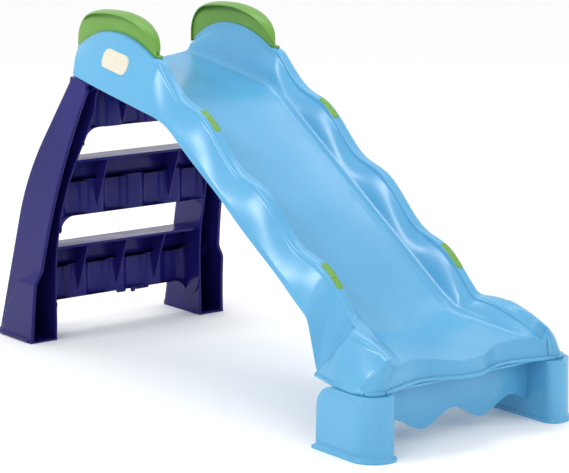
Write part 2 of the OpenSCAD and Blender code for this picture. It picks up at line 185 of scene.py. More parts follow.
# ---- the slide moulding's guiding lines ----
def bed_z(x, y=0.0):
    """Height of the bed. It dips at its edges along its lower crease, which bows the crease."""
    platform = PLATFORM_H - PLATFORM_SLOPE * (x - PLATFORM_X)
    chute = CHUTE_Z - CHUTE_SLOPE * (x - CHUTE_X)
    runout = RUNOUT_Z - RUNOUT_SLOPE * (x - RUNOUT_X)
    bow = BED_BOW * (y / RIM_IN) ** 2 * ramp(860, 880, x) * (1 - ramp(905, 940, x))
    return smax(smin(platform, chute, 20), runout, 18) - bow


def hood_z(x):
    r = np.where(x < HOOD_X, HOOD_BACK_R, HOOD_FRONT_R)
    return HOOD_H - r + np.sqrt(np.maximum(0, r * r - (x - HOOD_X) ** 2))


def wave_z(x):
    line = RIM_AT_Z - RIM_SLOPE * (x - RIM_AT_X)
    return line + WAVE_H * np.cos(2 * math.pi * (x - WAVE_X) / WAVE_PITCH)


def shoulder_z(x):
    return 209 - 0.1 * (x - 909) - 0.0015 * (x - 909) ** 2


def rim_z(x):
    upper = mix(hood_z(x), wave_z(x), ramp(300, 335, x))
    return mix(upper, shoulder_z(x), ramp(882, 912, x))


def rim_in_y(x):
    return RIM_IN + 41 * (np.maximum(0, x - 880) / 150) ** 1.3


def rim_out_y(x):
    return RIM_OUT + 36 * ramp(876, 940, x)


def rim_drop(x):
    return 22 * (np.maximum(0, x - 925) / 110) ** 1.6


def skirt_z(x):
    slope = smin(549 - 0.187 * (x - 91), 453 - 0.675 * (x - 450), 20)
    return np.maximum(FLANGE_H, smin(slope, 186 - 3 * (x - 829), 16))


def skirt_y(x):
    block = EXIT_HALF - 35 * (1 - ramp(790, 1010, x))
    return mix(SKIRT_HALF, block, ramp(BLOCK_X - 24, BLOCK_X, x))


def slot_depth(x):
    return SLOT_D * np.minimum(ramp(SLOT_A - 5, SLOT_A, x), 1 - ramp(SLOT_B, SLOT_B + 5, x))


def outer_wall_y(x, z, zs, zr):
    """Half width of the outer wall at length x and height z: chute wall, then exit block."""
    share = np.clip((z - zs) / np.maximum(zr - zs, 1), 0, 1)
    chute = mix(SKIRT_HALF, RIM_OUT, share) + 3.0 * np.sin(math.pi * share)
    block_x = np.maximum(x, BLOCK_X)
    block = mix(skirt_y(block_x), rim_out_y(block_x), share)
    block = block + 7.0 * np.sin(math.pi * share)
    start = BLOCK_X + 0.95 * (z - 123)
    flutes = FLUTE_D * np.cos(2 * math.pi * (x - WAVE_X + 0.5 * (zr - z)) / WAVE_PITCH)
    flutes = flutes * np.sin(math.pi * share) * ramp(330, 400, x) * (1 - ramp(800, 870, x))
    return mix(chute + flutes, block, ramp(start - 7, start + 7, x))


def half_section(x, inner):
    """Half of the cross-section at the stations x, from the skirt's bottom to the middle.
    Gives arrays of y and z with one row for each line. inner is 1 for the skin beneath."""
    t = WALL * inner
    zb = bed_z(x) - t
    zr = rim_z(x) - t - inner * slot_depth(x)
    zi = zr - rim_drop(x)
    zs = skirt_z(x)
    yi = rim_in_y(x) + 0.75 * t
    yo = rim_out_y(x) - t
    ym = (yo + yi) / 2
    half = (yo - yi) / 2
    h = np.maximum(8, zi - zb)
    bead = (1 - inner) * mix(1.0, 6.0, ramp(860, 876, x))
    d = (1 - inner) * slot_depth(x)
    ro = np.minimum(mix(9.0, 3.0, inner) + 5 * ramp(900, 960, x), h / 2.5)
    ri = np.minimum(mix(8.0, 4.0, inner), h / 3)
    cut = half * 0.45
    sw = np.minimum(SLOT_W / 2, half - cut * 1.1)
    lines = []

    def add(y, z):
        lines.append((y + 0 * x, z + 0 * x))

    base = outer_wall_y(x, zs + 9, zs, zr) - t
    for up, out in ((0, 0.75), (0.8, 1), (4.5, 1), (6.2, 0.6), (7.5, 0.15)):
        add(base + bead * out, zs + up)
    top = zr - ro
    for i in range(1, 15):
        z = mix(zs + 9, top, i / 15)
        add(outer_wall_y(x, z, zs, zr) - t, z)
    wall_top = outer_wall_y(x, top, zs, zr) - t
    edge = yo - cut
    for i in range(9):
        a = math.pi / 2 * i / 8
        add(edge + (wall_top - edge) * math.cos(a), top + ro * math.sin(a))
    tilt = (zr - zi) / np.maximum(edge - (yi + cut), 1)
    for y_off, depth in ((sw, 0), (sw, 0.06), (sw - 0.3, 1), (-sw + 0.3, 1), (-sw, 0.06), (-sw, 0)):
        y = ym + y_off
        add(y, zr - tilt * np.clip(edge - y, 0, None) - depth * d)
    for i in range(9):
        a = math.pi / 2 * i / 8
        add(yi + cut - cut * math.sin(a), zi - ri + ri * math.cos(a))
    foot_y, foot_z = yi - 20, zb + np.minimum(11, h * 0.25)
    for i in range(1, 12):
        u = i / 12
        add(mix(yi, foot_y, u) - 2.0 * np.sin(math.pi * u), mix(zi - ri, foot_z, u))
    bed_y = yi - 36
    creased = bed_z(x, bed_y) - t - zb
    for i in range(9):
        u = i / 8
        add((1 - u) ** 2 * foot_y + 2 * u * (1 - u) * (foot_y - 4.5) + u * u * bed_y,
            (1 - u) ** 2 * foot_z + 2 * u * (1 - u) * zb + u * u * (zb + creased))
    for i in range(1, 15):
        u = 1 - i / 14
        add(bed_y * u, bed_z(x, bed_y * u) - t - DISH * (1 - u * u))
    return np.array([l[0] for l in lines]), np.array([l[1] for l in lines])


def lip_edge(y):
    wave = np.where(y < LIP_PITCH, np.cos(2 * math.pi * y / LIP_PITCH), 1.0)
    return LIP_X + LIP_WAVE * wave


# Lines of the section that run up the outer wall, the lowest of them over the flange's bead
SIDE_LINES, BEAD_LINES, ROUND_LINES = 20, 5, 9
LIP_BEND = 4.0
LIP_CORNER_Y = 181.0
FRONT_X = float(lip_edge(np.array(LIP_CORNER_Y))) + LIP_BEND
# The exit block's corner is nearly sharp under the rim and wide at the flange
CORNER_R_TOP, CORNER_R_LOW = 2.0, 38.0
# A small bump on the lip near each corner
LIP_BUMP_X, LIP_BUMP_Y, LIP_BUMP_H = 1033.0, 160.0, 4.0


def corner_turn(count):
    """How far round the exit block's corner each line of the section ends, as an angle."""
    turn = np.full(count, math.pi / 2)
    turn[:SIDE_LINES] = np.interp(np.arange(SIDE_LINES), (0, BEAD_LINES, SIDE_LINES - 1),
                                  (0.5, 0.6, math.pi / 2))
    return turn


# Where the section's lines start at the back, as (eightieths of the way round, x): skirt edge,
# side panel, rim, inner wall, bed
BACK_ENDS = ((0, 91), (5, 89), (19, 62), (24, 55), (42, 54), (46, 58), (58, 64), (66, 69), (80, 70))


def corner_radius(z, z_top):
    """Radius of the exit block's corner in plan at height z."""
    share = np.clip((z_top - z) / np.maximum(z_top - FLANGE_H, 1), 0, 1)
    return mix(CORNER_R_TOP, CORNER_R_LOW, share)


def corner_cut(x, z, z_top):
    """How far the side of the exit block is drawn in at length x by its front corner."""
    r = corner_radius(z, z_top)
    over = np.clip(x - (FRONT_X - r), 0, r)
    return r - np.sqrt(np.maximum(0, r * r - over * over))


def slide_skin(inner):
    """Grid of points (rows along the slide, lines across half of it) of one skin."""
    count = half_section(np.array([500.0]), 0)[0].shape[0]
    line = np.arange(count)
    share = line / (count - 1) * 80
    back = np.interp(share, [b[0] for b in BACK_ENDS], [b[1] for b in BACK_ENDS])
    at_lip = half_section(np.array([LIP_X]), 0)
    front = lip_edge(at_lip[0][:, 0])
    side_z = np.minimum(at_lip[1][:SIDE_LINES, 0], at_lip[1][SIDE_LINES, 0])
    turn = corner_turn(count)[:SIDE_LINES]
    front[:SIDE_LINES] = FRONT_X - corner_radius(side_z, side_z[-1]) * (1 - np.sin(turn))
    rounding = slice(SIDE_LINES, SIDE_LINES + ROUND_LINES)
    front[rounding] = FRONT_X - LIP_BEND * np.arange(1, ROUND_LINES + 1) / ROUND_LINES
    s = np.concatenate([np.linspace(0, 0.03, 9), np.linspace(0.03, 0.78, 170)[1:],
                        np.linspace(0.78, 1, 96)[1:]])
    x = back[None, :] + (front - back)[None, :] * s[:, None]
    grid = np.zeros((len(s), count, 3))
    for j in line:
        y, z = half_section(x[:, j], inner)
        z_top = z[SIDE_LINES]
        cut = corner_cut(x[:, j], np.minimum(z[j], z_top), z_top)
        cut = cut * math.cos(math.pi / 2 * min(max(j - SIDE_LINES + 1, 0) / ROUND_LINES, 1))
        bump_x, bump_y = (x[:, j] - LIP_BUMP_X) / 8, (y[j] - LIP_BUMP_Y) / 7
        bump = LIP_BUMP_H * np.exp(-bump_x ** 2 - bump_y ** 2)
        grid[:, j] = np.stack([x[:, j], y[j] - cut, z[j] + bump], axis=1)
    return grid


def add_fascia(grid, inner):
    """Rows that turn the exit lip down to the flange."""
    last = grid[-1]
    count = len(last)
    line = np.arange(count)
    turn = corner_turn(count)
    side = line < SIDE_LINES
    low = FLANGE_H + 7
    z_top = float(last[SIDE_LINES, 2])
    at_x = np.full(count, FRONT_X)
    zs, zr = skirt_z(at_x), rim_z(at_x)
    share = np.where(side, 1.0, ramp(100, 172, last[:, 1]))

    def spread(z):
        """Half width of the leaning side at height z, round the corner."""
        radius = corner_radius(np.minimum(z, z_top), z_top)
        return outer_wall_y(at_x, z, zs, zr) - radius * (1 - np.cos(turn))

    def lowered(row, z):
        """The row brought down to heights z, spreading with the side's lean."""
        new = row.copy()
        new[:, 2] = np.minimum(row[:, 2], z)
        edge_drop = spread(np.full(count, new[SIDE_LINES - 1, 2]))
        edge_drop = edge_drop - spread(np.full(count, row[SIDE_LINES - 1, 2]))
        grown = np.where(side, spread(new[:, 2]) - spread(row[:, 2]), edge_drop[SIDE_LINES - 1])
        new[:, 1] += grown * share
        return new

    if inner:
        last = last.copy()
        last[:, 0] -= 1.5 * np.sin(turn)
        base = lowered(last, np.full(count, FLANGE_H))
        base[:, 0] += 3.0 * np.sin(turn)
        rows = [mix(last, base, i / 14) for i in range(1, 15)]
        return np.concatenate([grid, rows])
    rows = []
    bend = LIP_BEND * np.clip((line - SIDE_LINES + 1) / ROUND_LINES, 0, 1)
    for i in range(1, 6):
        a = math.pi / 2 * i / 5
        row = last.copy()
        row[:, 0] += bend * math.sin(a)
        row[:, 2] -= np.minimum(bend, np.maximum(last[:, 2] - low, 0) * 0.8) * (1 - math.cos(a))
        rows.append(row)
    turned = rows[-1]
    for u in (0.2, 0.4, 0.6, 0.8, 0.92, 1.0):
        row = lowered(turned, mix(turned[:, 2], np.minimum(turned[:, 2], low), u))
        row[:, 0] += 2.5 * u * u * np.sin(turn)
        rows.append(row)
    base = rows[-1]
    sideways = np.where(line < BEAD_LINES, 0.0, np.cos(turn))
    for out, z in ((4.5, low - 0.4), (5.5, low - 1.5), (5.5, FLANGE_H + 1)):
        row = base.copy()
        row[:, 0] += out * np.sin(turn)
        row[:, 1] += out * sideways
        row[:, 2] = np.minimum(row[:, 2], z)
        rows.append(row)
    return np.concatenate([grid, rows])


def both_sides(grid):
    """Half grid to full width: left edge, middle, right edge."""
    other = grid[:, -2::-1].copy()
    other[:, :, 1] *= -1
    return np.concatenate([grid, other], axis=1)


def build_slide_shell():
    top = both_sides(add_fascia(slide_skin(0), 0))
    under = both_sides(add_fascia(slide_skin(1), 1))
    points, faces = shell_between(top, under)
    obj = make_object("slide_shell", points, faces, 42)
    fix_normals(obj)
    return obj


# ---- outlines pushed through a thickness ----
def prism(outline, axis, lo, hi):
    """Points and faces of a closed outline, given in the two other axes, from lo to hi."""
    order = {"x": (2, 0, 1), "y": (0, 2, 1), "z": (0, 1, 2)}[axis]
    n = len(outline)
    points = []
    for w in (lo, hi):
        for p in outline:
            full = (p[0], p[1], w)
            points.append([full[order[0]], full[order[1]], full[order[2]]])
    faces = [list(range(n))[::-1], [n + i for i in range(n)]]
    faces += [[i, (i + 1) % n, n + (i + 1) % n, n + i] for i in range(n)]
    return points, faces


def joined(name, parts, bevel=0.0, segments=2, smooth_angle=35):
    """One object of several closed solids, with rounded edges."""
    points, faces = [], []
    for p, f in parts:
        faces += [[i + len(points) for i in face] for face in f]
        points += list(p)
    obj = make_object(name, points, faces, smooth_angle)
    fix_normals(obj)
    if bevel:
        bevelled(obj, bevel, segments)
    return obj


# ---- handrails ----
def arch_line(inset, count=90):
    """The handrail's outline seen from the side, from the tail behind the hood to the front."""
    a = np.linspace(-math.pi / 2, math.pi / 2, count)
    back = a < 0
    reach = np.where(back, GRIP_BACK, GRIP_FRONT) - inset
    x = GRIP_X + np.sin(a) * reach
    u = np.abs(x - GRIP_X) / reach
    n = np.where(back, 2.6, 2.1)
    z = GRIP_Z + (GRIP_H - GRIP_Z - inset) * np.maximum(0, 1 - u ** n) ** (1 / n)
    tail = np.array([[x[0], mix(GRIP_TAIL_Z, GRIP_Z, i / 4)] for i in range(4)])
    return np.concatenate([tail, np.stack([x, z], axis=1)])


# Half width of the handrail's cap at places along x
CAP_HALF = ((30, 4.2), (44, 4.2), (56, 5.5), (75, 10), (100, 16), (135, 18.6), (240, 18.4),
            (270, 16), (292, 13), (303, 10), (309, 7.5), (312.5, 4.5), (314, 1.2))


def build_handrail(name, side):
    outer = arch_line(0)
    tangent = np.gradient(outer, axis=0)
    tangent /= np.linalg.norm(tangent, axis=1)[:, None]
    inward = np.stack([tangent[:, 1], -tangent[:, 0]], axis=1)
    half_at = np.interp(outer[:, 0], [c[0] for c in CAP_HALF], [c[1] for c in CAP_HALF])
    low = 1 - ramp(GRIP_Z + 2, GRIP_Z + 16, outer[:, 1])
    front = outer[:, 0] > GRIP_X
    half_at = np.where(front, half_at * np.sqrt(np.clip(1 - (low * 0.92) ** 3, 0.02, 1)), half_at)
    rows = []
    for p, q, half in zip(outer, inward, half_at):
        crown = 4.6 * min(1, half / 18) ** 1.2
        edge_r, skin = min(1.5, half * 0.3), 3.0
        ring = []
        for u in np.linspace(-1, 1, 17):
            ring.append((u * (half - edge_r), crown * u * u))
        for a in np.linspace(0.35, math.pi, 7):
            ring.append((half - edge_r + edge_r * math.sin(a),
                         crown + edge_r * (1 - math.cos(a))))
        for u in np.linspace(0.86, -0.86, 9):
            ring.append((u * (half - edge_r), crown * u * u + skin))
        for a in np.linspace(math.pi, 0.35, 7):
            ring.append((-half + edge_r - edge_r * math.sin(a),
                         crown + edge_r * (1 - math.cos(a))))
        for y, depth in ring:
            at = p + q * depth
            rows.append([at[0], side * (GRIP_Y - 2 + y), at[1]])
    cols = len(rows) // len(outer)
    faces = grid_faces(len(outer), cols, closed=True)
    faces.append(list(range(cols)))
    faces.append([(len(outer) - 1) * cols + c for c in range(cols)][::-1])
    parts = [(rows, faces)]
    under = [p for p in arch_line(3.2) if p[1] > 592]
    toe_x = GRIP_X + GRIP_FRONT + 11
    xs = np.linspace(toe_x - 2, 49.5, 70)
    seated = [(x, float(rim_z(np.array(x))) - (SLOT_D - 2 if SLOT_A + 3 < x < SLOT_B - 3 else -0.8))
              for x in xs]
    toe = [(toe_x - 9, float(rim_z(np.array(toe_x - 9))) + 6), (toe_x - 2, seated[0][1] + 5),
           (toe_x, seated[0][1] + 2.5)]
    web = [tuple(p) for p in under] + toe + seated + [(46, 594), (43, 591)]
    parts.append(prism(web, "y", side * GRIP_Y - 3.0, side * GRIP_Y + 3.0))
    return joined(name, parts, 0.8, 2, smooth_angle=38)


# ---- inserts on the rim ----
INSERT_L, INSERT_X = 51.0, (454.0, 808.0)


def build_insert(name, x0, side):
    n, m = 30, 12
    rows = []
    for i in range(n + 1):
        x = x0 + INSERT_L * i / n
        end = min(i, n - i) / n * INSERT_L
        half = 7.0 * math.sqrt(max(0.02, 1 - (max(0, 5 - end) / 5) ** 2))
        rise = 1.7 * min(1, math.sqrt(end / 3 + 0.02))
        zr = float(rim_z(np.array(x)))
        ring = []
        for k in range(m + 1):
            a = math.pi * k / m
            ring.append([x, side * (GRIP_Y + 0.5 + half * math.cos(a)),
                         zr - 0.8 + (rise + 0.8) * min(1, 1.5 * math.sin(a))])
        ring.append([x, side * (GRIP_Y + 0.5 - half * 0.9), zr - 1.5])
        ring.append([x, side * (GRIP_Y + 0.5 + half * 0.9), zr - 1.5])
        rows += ring
    cols = m + 3
    faces = grid_faces(n + 1, cols, closed=True)
    faces.append(list(range(cols)))
    faces.append([n * cols + c for c in range(cols)][::-1])
    return joined(name, [(rows, faces)])


# ---- front foot ----
def leg_ring(z, side, inset=0.0):
    """Plan outline of a leg at height z, with its side panel set in by a fine border."""
    grow = LEG_BEAD * (1 - ramp(3.5, 9, z)) - inset
    lean = 3.0 * z / FLANGE_H
    x0, x1 = LEG_X0 - grow, LEG_X0 + LEG_L + grow
    over = max(0.0, z - (FLANGE_H - LEG_TOP_R))
    x0 += LEG_TOP_R - math.sqrt(max(0, LEG_TOP_R ** 2 - over ** 2))
    y0, y1 = LEG_HALF - LEG_W - grow, LEG_HALF + grow - lean
    points = []

    def corner(cx, cy, r, a0, a1, n):
        for a in np.linspace(a0, a1, n):
            points.append((cx + r * math.cos(a), cy + r * math.sin(a)))

    def edge(p, q, n):
        for u in np.linspace(0, 1, n + 2)[1:-1]:
            points.append((mix(p[0], q[0], u), mix(p[1], q[1], u)))

    r, r_in = LEG_R_OUT + grow, LEG_R_IN + grow
    corner(x0 + 4, y0 + 4, 4, -math.pi, -math.pi / 2, 4)
    edge((x0 + 4, y0), (x1 - r_in, y0), 20)
    corner(x1 - r_in, y0 + r_in, r_in, -math.pi / 2, 0, 16)
    corner(x1 - r, y1 - r, r, 0, math.pi / 2, 18)
    edge((x1 - r, y1), (x0 + 6, y1), 52)
    corner(x0 + 6, y1 - 6, 6, math.pi / 2, math.pi, 5)
    edge((x0, y1 - 6), (x0, y0 + 4), 12)
    ring = []
    for x, y in points:
        panel = ramp(0, 2.2, x - (x0 + 9)) * (1 - ramp(0, 2.2, x - (x1 - 24)))
        panel *= ramp(13, 15.2, z) * (1 - ramp(FLANGE_H - 9, FLANGE_H - 6.8, z))
        outer = ramp(y1 - 8, y1 - 2, y)
        ring.append((x, side * (y + 2.0 * panel * outer * (0 if inset else 1)), z))
    return ring


def build_front_foot():
    parts = []
    heights = np.concatenate([[0, 0.8, 2.4, 3.5], np.linspace(4.5, 10, 6),
                              np.linspace(12, FLANGE_H - 12, 34),
                              np.linspace(FLANGE_H - 10, FLANGE_H, 9)])
    for side in (1, -1):
        outer = [leg_ring(z, side) for z in heights]
        inner = [leg_ring(min(z, FLANGE_H - WALL), side, WALL) for z in heights]
        cols = len(outer[0])
        n = len(heights) * cols
        points = [p for ring in outer for p in ring] + [p for ring in inner for p in ring]
        faces = grid_faces(len(heights), cols, closed=True)
        faces += grid_faces(len(heights), cols, n, True, True)
        faces.append([n - cols + c for c in range(cols)])
        faces.append([2 * n - cols + c for c in range(cols)][::-1])
        faces += [[c, n + c, n + (c + 1) % cols, (c + 1) % cols] for c in range(cols)]
        parts.append((points, faces))
    edge = LEG_HALF - LEG_W + 1
    ys = np.linspace(-edge, edge, 121)
    low = [(y, 34 + 13 * math.cos(2 * math.pi * y / CROSS_WAVE)) for y in ys]
    panel = prism(low + [(edge, FLANGE_H), (-edge, FLANGE_H)], "x", CROSS_X, CROSS_X + WALL)
    shelf = prism([(CROSS_X - 24, -edge), (CROSS_X + 34, -edge), (CROSS_X + 34, edge),
                   (CROSS_X - 24, edge)], "z", FLANGE_H - WALL, FLANGE_H)
    foot = joined("front_foot_shell", parts, smooth_angle=40)
    cross = joined("front_foot_panel", [panel, shelf], 1.2, 3)
    return foot, cross


# ---- ladder ----
def side_front(z):
    return 0.000495 * z * z + 0.012 * z


def side_front_in(z):
    return side_front(z) - 14 * ramp(20, 200, z) * (1 - ramp(320, 450, z) * (1 - ramp(470, 515, z)))


def side_back(z):
    return smax(-139 + 0.22 * z, -298.5 + 0.7 * z, 40)


def side_out(z):
    return 219 - 0.0826 * (z - 184)


def side_out_front(z):
    return mix(FOOT_HALF - 0.04 * z, side_out(z), ramp(118, 152, z))


def side_in(z):
    return 178 - 0.01 * np.minimum(z, 260) - 0.094 * np.maximum(0, z - 260)


SIDE_T, SIDE_BAND, SIDE_FLOOR, FLARE_TOP = 4.0, 7.0, 4.0, 152.0
# Above SHAPED_TOP a side only rises straight to the slide's skirt, up to SIDE_TOP at most
SHAPED_TOP, SIDE_TOP = 538.0, 546.0


def side_ring(z):
    """Plan of a ladder side at height z: a channel that is open towards the front, solid up to
    its floor, with a thick front edge, a flare at the foot and a bead round its bottom."""
    zz = min(z, SHAPED_TOP)
    bead = 5.0 * math.sqrt(max(0.0, 1 - ((z - 5.5) / 4.5) ** 2))
    xf = float(side_front(zz)) - 9 * float(ramp(522, 536, z))
    xi = float(side_front_in(zz))
    xb = float(side_back(zz))
    yo, yf, yi = float(side_out(zz)), float(side_out_front(zz)), float(side_in(zz))
    t, r, e = SIDE_T, 9.0, 1.3
    reach = 0.93 * math.sqrt(max(0.0, 1 - (z / FLARE_TOP) ** 2))
    outside = [(xf, yf - e), (xf - 0.3 * e, yf - 0.3 * e), (xf - e, yf)]
    inside = [(xf, yf - SIDE_BAND + e), (xf - 0.3 * e, yf - SIDE_BAND + 0.3 * e),
              (xf - e, yf - SIDE_BAND)]
    depth = xf - e - (xb + r)
    for i in range(1, 45):
        u = i / 44
        at = u * depth
        flare = float(ramp(-0.022, 0.022, reach - u))
        y = mix(yo, yf, flare if z < FLARE_TOP else max(0.0, 1 - at / 30))
        out = bead * float(ramp(5, 9, at))
        outside.append((xf - e - at, y + out))
        inside.append((xf - e - at, y - mix(SIDE_BAND, t, float(ramp(4, 7, at)))))
    for a in np.linspace(0.15, math.pi / 2, 6):
        outside.append((xb - bead + r - r * math.sin(a), yo + bead - r + r * math.cos(a)))
        inside.append((xb + r - (r - t) * math.sin(a), yo - r + (r - t) * math.cos(a)))
    for u in (0.25, 0.5, 0.75):
        outside.append((xb - bead, mix(yo + bead - r, yi + r, u)))
        inside.append((xb + t, mix(yo - r, yi + r, u)))
    for a in np.linspace(0, math.pi / 2 - 0.15, 6):
        outside.append((xb + r - (r + bead * math.cos(a)) * math.cos(a), yi + r - r * math.sin(a)))
        inside.append((xb + r - (r - t) * math.cos(a), yi + r - (r - t) * math.sin(a)))
    for i in range(1, 27):
        u = i / 26
        outside.append((mix(xb + r, xi - e, u), yi))
        inside.append((mix(xb + r, xi - e, u), yi + t))
    outside += [(xi - 0.3 * e, yi + 0.3 * e), (xi, yi + e)]
    inside += [(xi - 0.3 * e, yi + t - 0.3 * e), (xi, yi + t - e)]
    if z <= SIDE_FLOOR:
        n = len(inside)
        inside = [(mix(xf - 0.5, xi - 0.5, (i + 1) / (n + 1)), mix(yf - e, yi + e, (i + 1) / (n + 1)))
                  for i in range(n)]
    return outside + inside[::-1]


def round_ridge(x0, z0, x1, z1, y):
    """A thin curved ridge on a side's inner wall, from a riser's corner up to the front edge."""
    line = [(mix(x0, x1, math.sin(a)), mix(z1, z0, math.cos(a)))
            for a in np.linspace(0, math.pi / 2, 16)]
    back = [(x, z + 2.6) for x, z in line[::-1]]
    return prism(line + back, "y", y - 3.0, y + 2.0)


def build_ladder_side(name, side):
    heights = np.concatenate([[0, 0.7, 1.2, 2.5, 4.0, 4.05], np.linspace(4.6, 11, 14),
                              np.linspace(14, 112, 40), np.linspace(114, 158, 34),
                              np.linspace(164, 520, 50), np.linspace(524, SHAPED_TOP, 6)])
    rows = []
    for z in heights:
        for x, y in side_ring(float(z)):
            top = min(SIDE_TOP, float(skirt_z(np.array(x))) - 1.5)
            rows.append([x, side * y, top if z == SHAPED_TOP else z])
    cols = len(rows) // len(heights)
    n = len(rows)
    half = cols // 2
    faces = grid_faces(len(heights), cols, closed=True)
    for base, flip in ((0, True), (n - cols, False)):
        for c in range(half - 1):
            quad = [base + c, base + c + 1, base + cols - 2 - c, base + cols - 1 - c]
            faces.append(quad[::-1] if flip else quad)
    parts = [(rows, faces)]
    for front, low in ((TREAD_X, TREAD_H - RISER_H), (TREAD_X + SET_BACK, TREAD_H + RISE - RISER_H)):
        edge = float(side_front_in(low)) - 2
        wall_y = float(side_in(low - 10))
        parts.append(round_ridge(front - 50, low - GAP_R + 2, edge, low + 4, side * wall_y))
    return joined(name, parts, smooth_angle=30)


RISER_WAVE, RISER_WAVE_D, RIB_T, LEDGE_DROP, GAP_R = 95.0, 4.6, 3.0, 48.0, 34.0


def riser_bow(y):
    """The riser's waves in plan, with flat crests and steep flanks."""
    return RISER_WAVE_D * np.tanh(2.4 * np.cos(2 * math.pi * y / RISER_WAVE)) / math.tanh(2.4)


def wavy_wall(x, half, t, n=150):
    ys = np.linspace(-half, half, n)
    xs = x + riser_bow(ys)
    return [(a, b) for a, b in zip(xs, ys)] + [(a - t, b) for a, b in zip(xs[::-1], ys[::-1])]


def build_step(name, front, top, ribs, cut=0.0, tabs=()):
    """One step: tread, wavy riser with its ledge, ribs, and the rounds of the gap below. Its
    ends are drawn in to the walls of the ladder's sides."""
    x_low, x_back = front - 48, front - TREAD_D
    low = top + cut - RISER_H
    ledge = top + cut - LEDGE_DROP
    half = float(side_in(low - GAP_R)) + 6
    nose = front - cut / 2.5
    ys = np.linspace(half, -half, 150)
    parts = [
        prism([(x_back, -half), (nose - 2, -half), (nose, 1.5 - half), (nose, half - 1.5),
               (nose - 2, half), (x_back, half)], "z", top - WALL, top),
        prism([(nose - 3.5, -half), (nose - 0.2, -half), (nose - 0.2, half), (nose - 3.5, half)],
              "z", top - 5, top - 1),
        prism(wavy_wall(x_low - 1, half, WALL), "z", low, ledge),
        prism([(x_back, -half), (x_back, half)]
              + [(x_low + 0.6 + float(riser_bow(y)), y) for y in ys], "z", ledge - 3, ledge),
        prism([(x_back, -half), (x_back + WALL, -half), (x_back + WALL, half), (x_back, half)],
              "z", ledge - 1, top - 1)]
    for y in ribs:
        parts.append(prism([(nose - 2, top - 1), (x_low - 2, low), (x_low - 10, low),
                            (x_back + 1, top - 1)], "y", y - RIB_T / 2, y + RIB_T / 2))
    round_y = float(side_in(low - GAP_R)) - GAP_R + 1.5
    for side in (-1, 1):
        web = [(side * half, low + 1), (side * half, low - GAP_R)]
        web += [(side * (round_y + GAP_R * math.cos(a)), low - GAP_R + GAP_R * math.sin(a))
                for a in np.linspace(0, math.pi / 2, 18)]
        web += [(side * round_y, low + 1)]
        parts.append(prism(web, "x", x_low - 3, x_low + 1.5))
    for y0, y1, drop in tabs:
        parts.append(prism([(y0, low + 2), (y0 + 2, low - drop), (y1 - 2, low - drop), (y1, low + 2)],
                           "x", x_low - 4, x_low))
    drawn_in = []
    for points, faces in parts:
        fitted = []
        for x, y, z in points:
            limit = float(side_in(z)) + 1.5
            fitted.append([x, max(-limit, min(limit, y)), z])
        drawn_in.append((fitted, faces))
    return joined(name, drawn_in, 0.5, 2, 38)


# ---- plain plaques on the hood's sides ----
PLAQUE_X, PLAQUE_Z, PLAQUE_HALF_L, PLAQUE_HALF_H, PLAQUE_R = 211.0, 586.0, 41.0, 18.0, 15.0
PLAQUE_T, PLAQUE_TILT = 1.7, 9.6


def build_plaque(name, side):
    """A blank rounded plate that follows the hood's side, with a fine raised border."""
    n, m = 56, 40
    fall = math.tan(math.radians(PLAQUE_TILT))
    rows = []
    for lift_row in (0, 1):
        for j in range(m + 1):
            v = -1 + 2 * j / m
            dz = v * PLAQUE_HALF_H
            over = max(0.0, abs(dz) - (PLAQUE_HALF_H - PLAQUE_R))
            reach = PLAQUE_HALF_L - PLAQUE_R + math.sqrt(max(0.0, PLAQUE_R ** 2 - over * over))
            for i in range(n + 1):
                u = -1 + 2 * i / n
                x = PLAQUE_X + u * reach
                z = PLAQUE_Z + dz - (x - PLAQUE_X) * fall
                zs, zr = float(skirt_z(np.array(x))), float(rim_z(np.array(x)))
                y = float(outer_wall_y(np.array(x), np.array(z), np.array(zs), np.array(zr)))
                edge = min((1 - abs(u)) * reach, PLAQUE_HALF_H - abs(dz))
                lift = PLAQUE_T * min(1.0, math.sqrt(max(edge, 0) / 1.2))
                lift -= 0.5 * float(ramp(2.4, 3.2, edge))
                rows.append([x, side * (y + (lift if lift_row else -1.5)), z])
    cols = n + 1
    half = len(rows) // 2
    faces = grid_faces(m + 1, cols, 0, True) + grid_faces(m + 1, cols, half)
    for j in range(m):
        for c in (0, cols - 1):
            a, b = j * cols + c, (j + 1) * cols + c
            quad = [a, b, half + b, half + a]
            faces.append(quad if c == 0 else quad[::-1])
    for i in range(cols - 1):
        for r0 in (0, m * cols):
            a, b = r0 + i, r0 + i + 1
            quad = [a, b, half + b, half + a]
            faces.append(quad[::-1] if r0 == 0 else quad)
    return joined(name, [(rows, faces)], smooth_angle=40)


# ---- materials ----
def new_material(name):
    mat = bpy.data.materials.new(name)
    mat.use_nodes = True
    nodes, links = mat.node_tree.nodes, mat.node_tree.links
    return mat, nodes, links, nodes["Principled BSDF"]


def noise(nodes, links, coords, scale, detail=3.0, roughness=0.5):
    tex = nodes.new("ShaderNodeTexNoise")
    tex.inputs["Scale"].default_value = scale
    tex.inputs["Detail"].default_value = detail
    tex.inputs["Roughness"].default_value = roughness
    links.new(coords, tex.inputs["Vector"])
    return tex.outputs["Fac"]


def mapped(nodes, links, value, lo, hi, from_lo=0.3, from_hi=0.7):
    node = nodes.new("ShaderNodeMapRange")
    node.inputs["From Min"].default_value = from_lo
    node.inputs["From Max"].default_value = from_hi
    node.inputs["To Min"].default_value = lo
    node.inputs["To Max"].default_value = hi
    links.new(value, node.inputs["Value"])
    return node.outputs["Result"]


